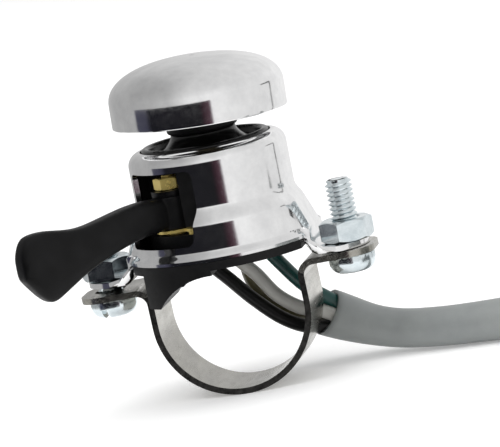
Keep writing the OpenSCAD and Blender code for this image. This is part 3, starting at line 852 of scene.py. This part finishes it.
SLEEVE_ROUTE = [
    (11.2, 10, -1.1), (14, 10, -2.45), (18, 9.7, -4.1), (22, 9, -5.05), (28.6, 6.8, LIE),
    (36.5, 5.4, LIE), (44, 5, LIE), (52, 6, LIE), (60, 8, LIE), (66, 9, LIE),
]
BULLET_R = 2.35
BULLET_Z = FLOOR + BULLET_R
TAILS = {
    "black": [
        (126, 10.3, 6.35), (129, 10.3, 6.35), (134, 10.7, 6.2), (140, 11.4, 5.4), (144.5, 11.7, 0.8),
        (148.5, 11.8, -4.8), (154, 11.8, -7.3), (160, 11.7, -7.4), (165.5, 11.6, BULLET_Z),
        (168, 11.6, BULLET_Z),
    ],
    "olive": [
        (126, 10.3, 8.55), (129, 10.3, 8.55), (134, 10.1, 8.4), (139, 9.5, 7.8), (144.5, 8.4, 5.6),
        (149, 7.1, 0.6), (153, 5.8, -5), (158.5, 4.1, -7.3), (164, 3.1, -7.4), (169.5, 2.8, BULLET_Z),
        (172, 2.8, BULLET_Z),
    ],
    "green": [
        (126, 8.1, 8.55), (129, 8.1, 8.55), (134, 7.1, 8.4), (140, 5.2, 7.6), (147, 1.6, 6.6),
        (152.5, -1.4, 4.6), (156.5, -3.4, -0.6), (160, -4.8, -5.8), (164, -5.5, -7.3),
        (168.5, -5.8, BULLET_Z), (171, -5.8, BULLET_Z),
    ],
    "white": [
        (126, 8.1, 6.35), (129, 8.1, 6.35), (134, 5.4, 6), (139, 2, 5.8), (145, -3.2, 5.7),
        (150.6, -8.2, 5.8), (153.6, -10.4, 5.2), (157, -12.4, 0), (160.4, -13.6, -5.4), (165, -14.2, -7.4),
        (170.5, -14.4, BULLET_Z), (173, -14.4, BULLET_Z),
    ],
}
WIRE_LOOKS = {"black": WIRE_BLACK, "white": WIRE_WHITE, "green": WIRE_GREEN, "olive": WIRE_OLIVE}


def bullet(colour, route):
    """A turned brass bullet with a crimped neck, in line with the end of its tail."""
    neck = BULLET_R - 0.15
    outline = [(0.0, -0.2), (1.25, -0.2), (1.9, 0.1), (BULLET_R, 0.5), (BULLET_R, 1.7), (neck, 1.95)]
    outline += [(neck, 2.35), (BULLET_R, 2.6), (BULLET_R, 9.0)] + arc(0.75, 10.0, 1.6, 0, 75, 10)
    outline += [(0.6, 11.7), (0.0, 11.7)]
    made = lathe("bullet_" + colour + "_turned", outline, 64, closed=False)
    sharpen(made, 40.0)
    last, before = Vector(route[-1]), Vector(route[-2])
    way = math.degrees(math.atan2(last.y - before.y, last.x - before.x))
    made.data.transform(Matrix.Rotation(math.pi / 2, 4, "Y"))
    place(made, last, way)
    return keep(made, "body", BRASS, "brass", "bullet_" + colour)


def make_wires():
    """The four wires between the base and the sleeve's mouth, and their tails at the sleeve's other end."""
    for colour, route in ROUTES.items():
        path = curve_through(route, 0.7)
        wire = round_tube("wire_" + colour + "_run", path, WIRE_R, 20)
        keep(wire, "body", WIRE_LOOKS[colour], "wire_" + colour, "wire_" + colour)
    for colour, route in TAILS.items():
        path = curve_through(route, 0.9)
        tail = round_tube("tail_" + colour + "_end", path, WIRE_R, 16)
        keep(tail, "body", WIRE_LOOKS[colour], "wire_" + colour, "tail_" + colour)
        bullet(colour, route)


def sleeve_path():
    """From the mouth along the floor, through the turns of the hank, to its end on top of the rear run."""
    step, fold_steps, rise_steps = 1.2, 50, 32
    path = curve_through(SLEEVE_ROUTE + [(HANK_X, HANK_Y + FOLD_R, LIE)], step)[:-1]
    far_x = HANK_X + HANK_RUN

    def straight(x_from, x_to, y, z):
        count = round(abs(x_to - x_from) / step)
        path.extend(Vector((mix(x_from, x_to, k / count), y, z)) for k in range(count))

    def fold(x, start, z_from, z_to):
        for k in range(fold_steps):
            a = math.radians(start - 180.0 * k / fold_steps)
            z = mix(z_from, z_to, ease(k / rise_steps))
            path.append(Vector((x + FOLD_R * math.cos(a), HANK_Y + FOLD_R * math.sin(a), z)))

    for turn in range(2):
        z = LIE + turn * 2 * SLEEVE_R
        straight(HANK_X, far_x, HANK_Y + FOLD_R, z)
        fold(far_x, 90.0, z, z)
        straight(far_x, HANK_X, HANK_Y - FOLD_R, z)
        fold(HANK_X, 270.0, z, z + 2 * SLEEVE_R)
    straight(HANK_X, HANK_X + TOP_RUN, HANK_Y + FOLD_R, LIE + 4 * SLEEVE_R)
    return path


def make_sleeve():
    """A soft grey tube: a little oval, splayed and cut askew at its mouth, and open there."""
    wall, splay, squeeze = 0.42, 0.42, 0.10
    path = sleeve_path()
    run = [0.0]
    for a, b in zip(path, path[1:]):
        run.append(run[-1] + (b - a).length)

    def ring_of(i, angle, inset):
        s = run[i]
        mouth = ease(1.0 - s / 9.0)
        oval = 0.05 * math.sin(s / 11.0 + 0.6) * ease(s / 12.0) * ease((60.0 - s) / 30.0)
        r = SLEEVE_R - inset + splay * mouth - squeeze * ease(s / 14.0) * ease((34.0 - s) / 10.0)
        across, high = r * (1.0 + oval) * math.cos(angle), r * (1.0 - oval) * math.sin(angle)
        askew = ease(1.0 - s / 5.0)
        return across, high, askew * (0.42 * across + 0.18 * high)

    inner_rings = max(k for k, s in enumerate(run) if s < 16.0)
    points, sides = [], 28
    frames = frames_along(path)

    def add_ring(i, inset):
        heading, side, up = frames[i]
        for k in range(sides):
            across, high, ahead = ring_of(i, 2 * math.pi * k / sides, inset)
            points.append(path[i] + side * across + up * high + heading * ahead)

    for i in range(inner_rings, -1, -1):
        add_ring(i, wall)
    add_ring(0, 0.12)
    for i in range(len(path)):
        add_ring(i, 0.0)
    sleeve = capped_tube("grey_sleeve", points, sides)
    keep(sleeve, "body", SLEEVE, "sleeve_grey", "cable_sleeve", "cable_hank")
    tie = make_tie()


def make_tie():
    """A nylon tie round the three layers of the rear run, with its small head on the outside."""
    half, layers, thick, half_width = SLEEVE_R + 0.05, 3, 0.5, 1.5
    low, high = FLOOR + SLEEVE_R, FLOOR + (2 * layers - 1) * SLEEVE_R
    loop = [(high, 9 * k) for k in range(21)] + [(low, 9 * k) for k in range(20, 41)]
    points = []
    corners = ((0.0, -half_width), (thick, -half_width), (thick, half_width), (0.0, half_width))
    for grow, x in corners:
        for middle, angle in loop:
            a = math.radians(angle)
            y, z = (half + grow) * math.cos(a), middle + (half + grow) * math.sin(a)
            points.append((x, y, max(FLOOR, z)))
    tie = new_mesh("cable_tie", points, grid_faces(4, len(loop), closed_rows=True))
    head = box_mesh("head", (-2.2, half, FLOOR + 7.6), (2.2, half + 0.6, FLOOR + 11.6))
    join_into(tie, head)
    bevel(tie, 0.15, 2)
    apply_modifiers(tie)
    place(tie, (TIE_X, HANK_Y + FOLD_R, 0))
    return keep(tie, "body", TIE, "tie_black", "hank_tie")


make_wires()
make_sleeve()

# ---------------------------------------------------------------- stage and light


def make_floor():
    """A pale floor that glows a little, so that it stays plain."""
    side, z = 3000, FLOOR - 0.02
    corners = [(-side, -side, z), (side, -side, z), (side, side, z), (-side, side, z)]
    floor = new_mesh("floor", corners, [(0, 1, 2, 3)])
    made, tree, shader = new_material("paper")
    shader.inputs["Base Color"].default_value = (0.9, 0.9, 0.9, 1)
    shader.inputs["Roughness"].default_value = 0.9
    shader.inputs["Specular IOR Level"].default_value = 0.1
    shader.inputs["Emission Color"].default_value = (1, 1, 1, 1)
    shader.inputs["Emission Strength"].default_value = 0.22
    paint(floor, made)


# Brightness of the studio from its left, X = -1, to its right, X = 1
ACROSS = [(0.0, 0.42), (0.3, 0.53), (0.52, 0.87), (0.8, 0.94), (1.0, 0.82)]


def shades(tree, fac, low, high, stops):
    """Greys along a coordinate that runs from low to high."""
    reach = tree.nodes.new("ShaderNodeMapRange")
    reach.inputs["From Min"].default_value = low
    reach.inputs["From Max"].default_value = high
    tree.links.new(fac, reach.inputs["Value"])
    return ramp(tree, reach.outputs["Result"], [(at, (v, v, v)) for at, v in stops])


def make_world():
    """A soft studio: bright to the right, greyer to the left and overhead."""
    world = bpy.data.worlds.new("studio")
    world.use_nodes = True
    tree = world.node_tree
    way = tree.nodes.new("ShaderNodeSeparateXYZ")
    tree.links.new(tree.nodes.new("ShaderNodeTexCoord").outputs["Generated"], way.inputs["Vector"])
    across = shades(tree, way.outputs["X"], -1.0, 1.0, ACROSS)
    up = shades(tree, way.outputs["Z"], 0.0, 1.0, [(0.0, 1.0), (0.4, 0.96), (0.75, 0.84), (1.0, 0.78)])
    both = tree.nodes.new("ShaderNodeMix")
    both.data_type = "RGBA"
    both.blend_type = "MULTIPLY"
    both.inputs["Factor"].default_value = 1.0
    tree.links.new(across, both.inputs["A"])
    tree.links.new(up, both.inputs["B"])
    tree.links.new(both.outputs["Result"], tree.nodes["Background"].inputs["Color"])
    bpy.context.scene.world = world


def soft_light(name, azimuth, elevation, distance, size, power):
    """A soft light at an azimuth right of the front and an elevation, in degrees, looking at the body."""
    a, e = math.radians(azimuth), math.radians(elevation)
    aim = Vector((4, 0, 20))
    way = Vector((math.sin(a) * math.cos(e), -math.cos(a) * math.cos(e), math.sin(e)))
    data = bpy.data.lights.new(name, "AREA")
    data.size = size * MM
    data.energy = power
    light = bpy.data.objects.new(name, data)
    turn = way.to_track_quat("Z", "Y").to_matrix().to_4x4()
    light.matrix_world = Matrix.Translation((aim + way * distance) * MM) @ turn
    light.visible_glossy = False
    bpy.context.scene.collection.objects.link(light)


def curved_card(name, start, end, radius, low, high):
    """A card that only shows in reflections, between two azimuths right of the front, in degrees."""
    steps = 96
    points = []
    for z in (low, high):
        for k in range(steps + 1):
            a = math.radians(mix(start, end, k / steps))
            points.append((radius * math.sin(a), -radius * math.cos(a), z))
    card = new_mesh(name, points, grid_faces(2, steps + 1, closed_columns=False))
    made, tree, shader = new_material(name)
    shader.inputs["Base Color"].default_value = (0, 0, 0, 1)
    shader.inputs["Roughness"].default_value = 1.0
    shader.inputs["Specular IOR Level"].default_value = 0.0
    shader.inputs["Emission Strength"].default_value = 1.0
    paint(card, made)
    card.visible_camera = False
    card.visible_diffuse = False
    card.visible_shadow = False
    card.visible_transmission = False
    across = tree.nodes.new("ShaderNodeSeparateXYZ")
    tree.links.new(tree.nodes.new("ShaderNodeTexCoord").outputs["Object"], across.inputs["Vector"])
    return tree, shader, across.outputs["X"]


def make_tent():
    """A low ring of cloth that hides the bright floor from the chrome's upright walls."""
    radius = 105
    tree, shader, across = curved_card("tent", -180, 180, radius, FLOOR, 70)
    shade = shades(tree, across, -radius * MM, radius * MM, ACROSS)
    tree.links.new(shade, shader.inputs["Emission Color"])


def make_dark_card():
    """A dark card across the front and left: bluish at its left end, brownish at its right end."""
    radius, start, end = 62, -72, 27
    tree, shader, across = curved_card("card_front", start, end, radius, FLOOR, 33)
    reach = tree.nodes.new("ShaderNodeMapRange")
    reach.inputs["From Min"].default_value = radius * MM * math.sin(math.radians(start))
    reach.inputs["From Max"].default_value = radius * MM * math.sin(math.radians(end))
    tree.links.new(across, reach.inputs["Value"])
    colours = ramp(tree, reach.outputs["Result"], [
        (0.0, (0.42, 0.42, 0.43)), (0.012, (0.07, 0.07, 0.10)), (0.09, (0.05, 0.05, 0.075)),
        (0.14, (0.010, 0.010, 0.014)), (0.84, (0.010, 0.010, 0.012)), (0.90, (0.04, 0.018, 0.026)),
        (0.97, (0.09, 0.05, 0.065)), (1.0, (0.5, 0.47, 0.49)),
    ])
    tree.links.new(colours, shader.inputs["Emission Color"])


def make_dark_frame():
    """Two thin dark bars far right, which draw a fine line on the chrome."""
    bars = (("bar_upright", 116.5, 118.5, FLOOR, 40), ("bar_top", 100, 118.5, 40, 45))
    for name, start, end, low, high in bars:
        _, shader, _ = curved_card(name, start, end, 100, low, high)
        shader.inputs["Emission Color"].default_value = (0.04, 0.04, 0.04, 1)


make_floor()
make_world()
soft_light("overhead", 0, 88, 1000, 1200, 5.5)
soft_light("key", -30, 50, 900, 500, 2.0)
make_tent()
make_dark_card()
make_dark_frame()

bpy.context.scene.view_settings.view_transform = "Standard"
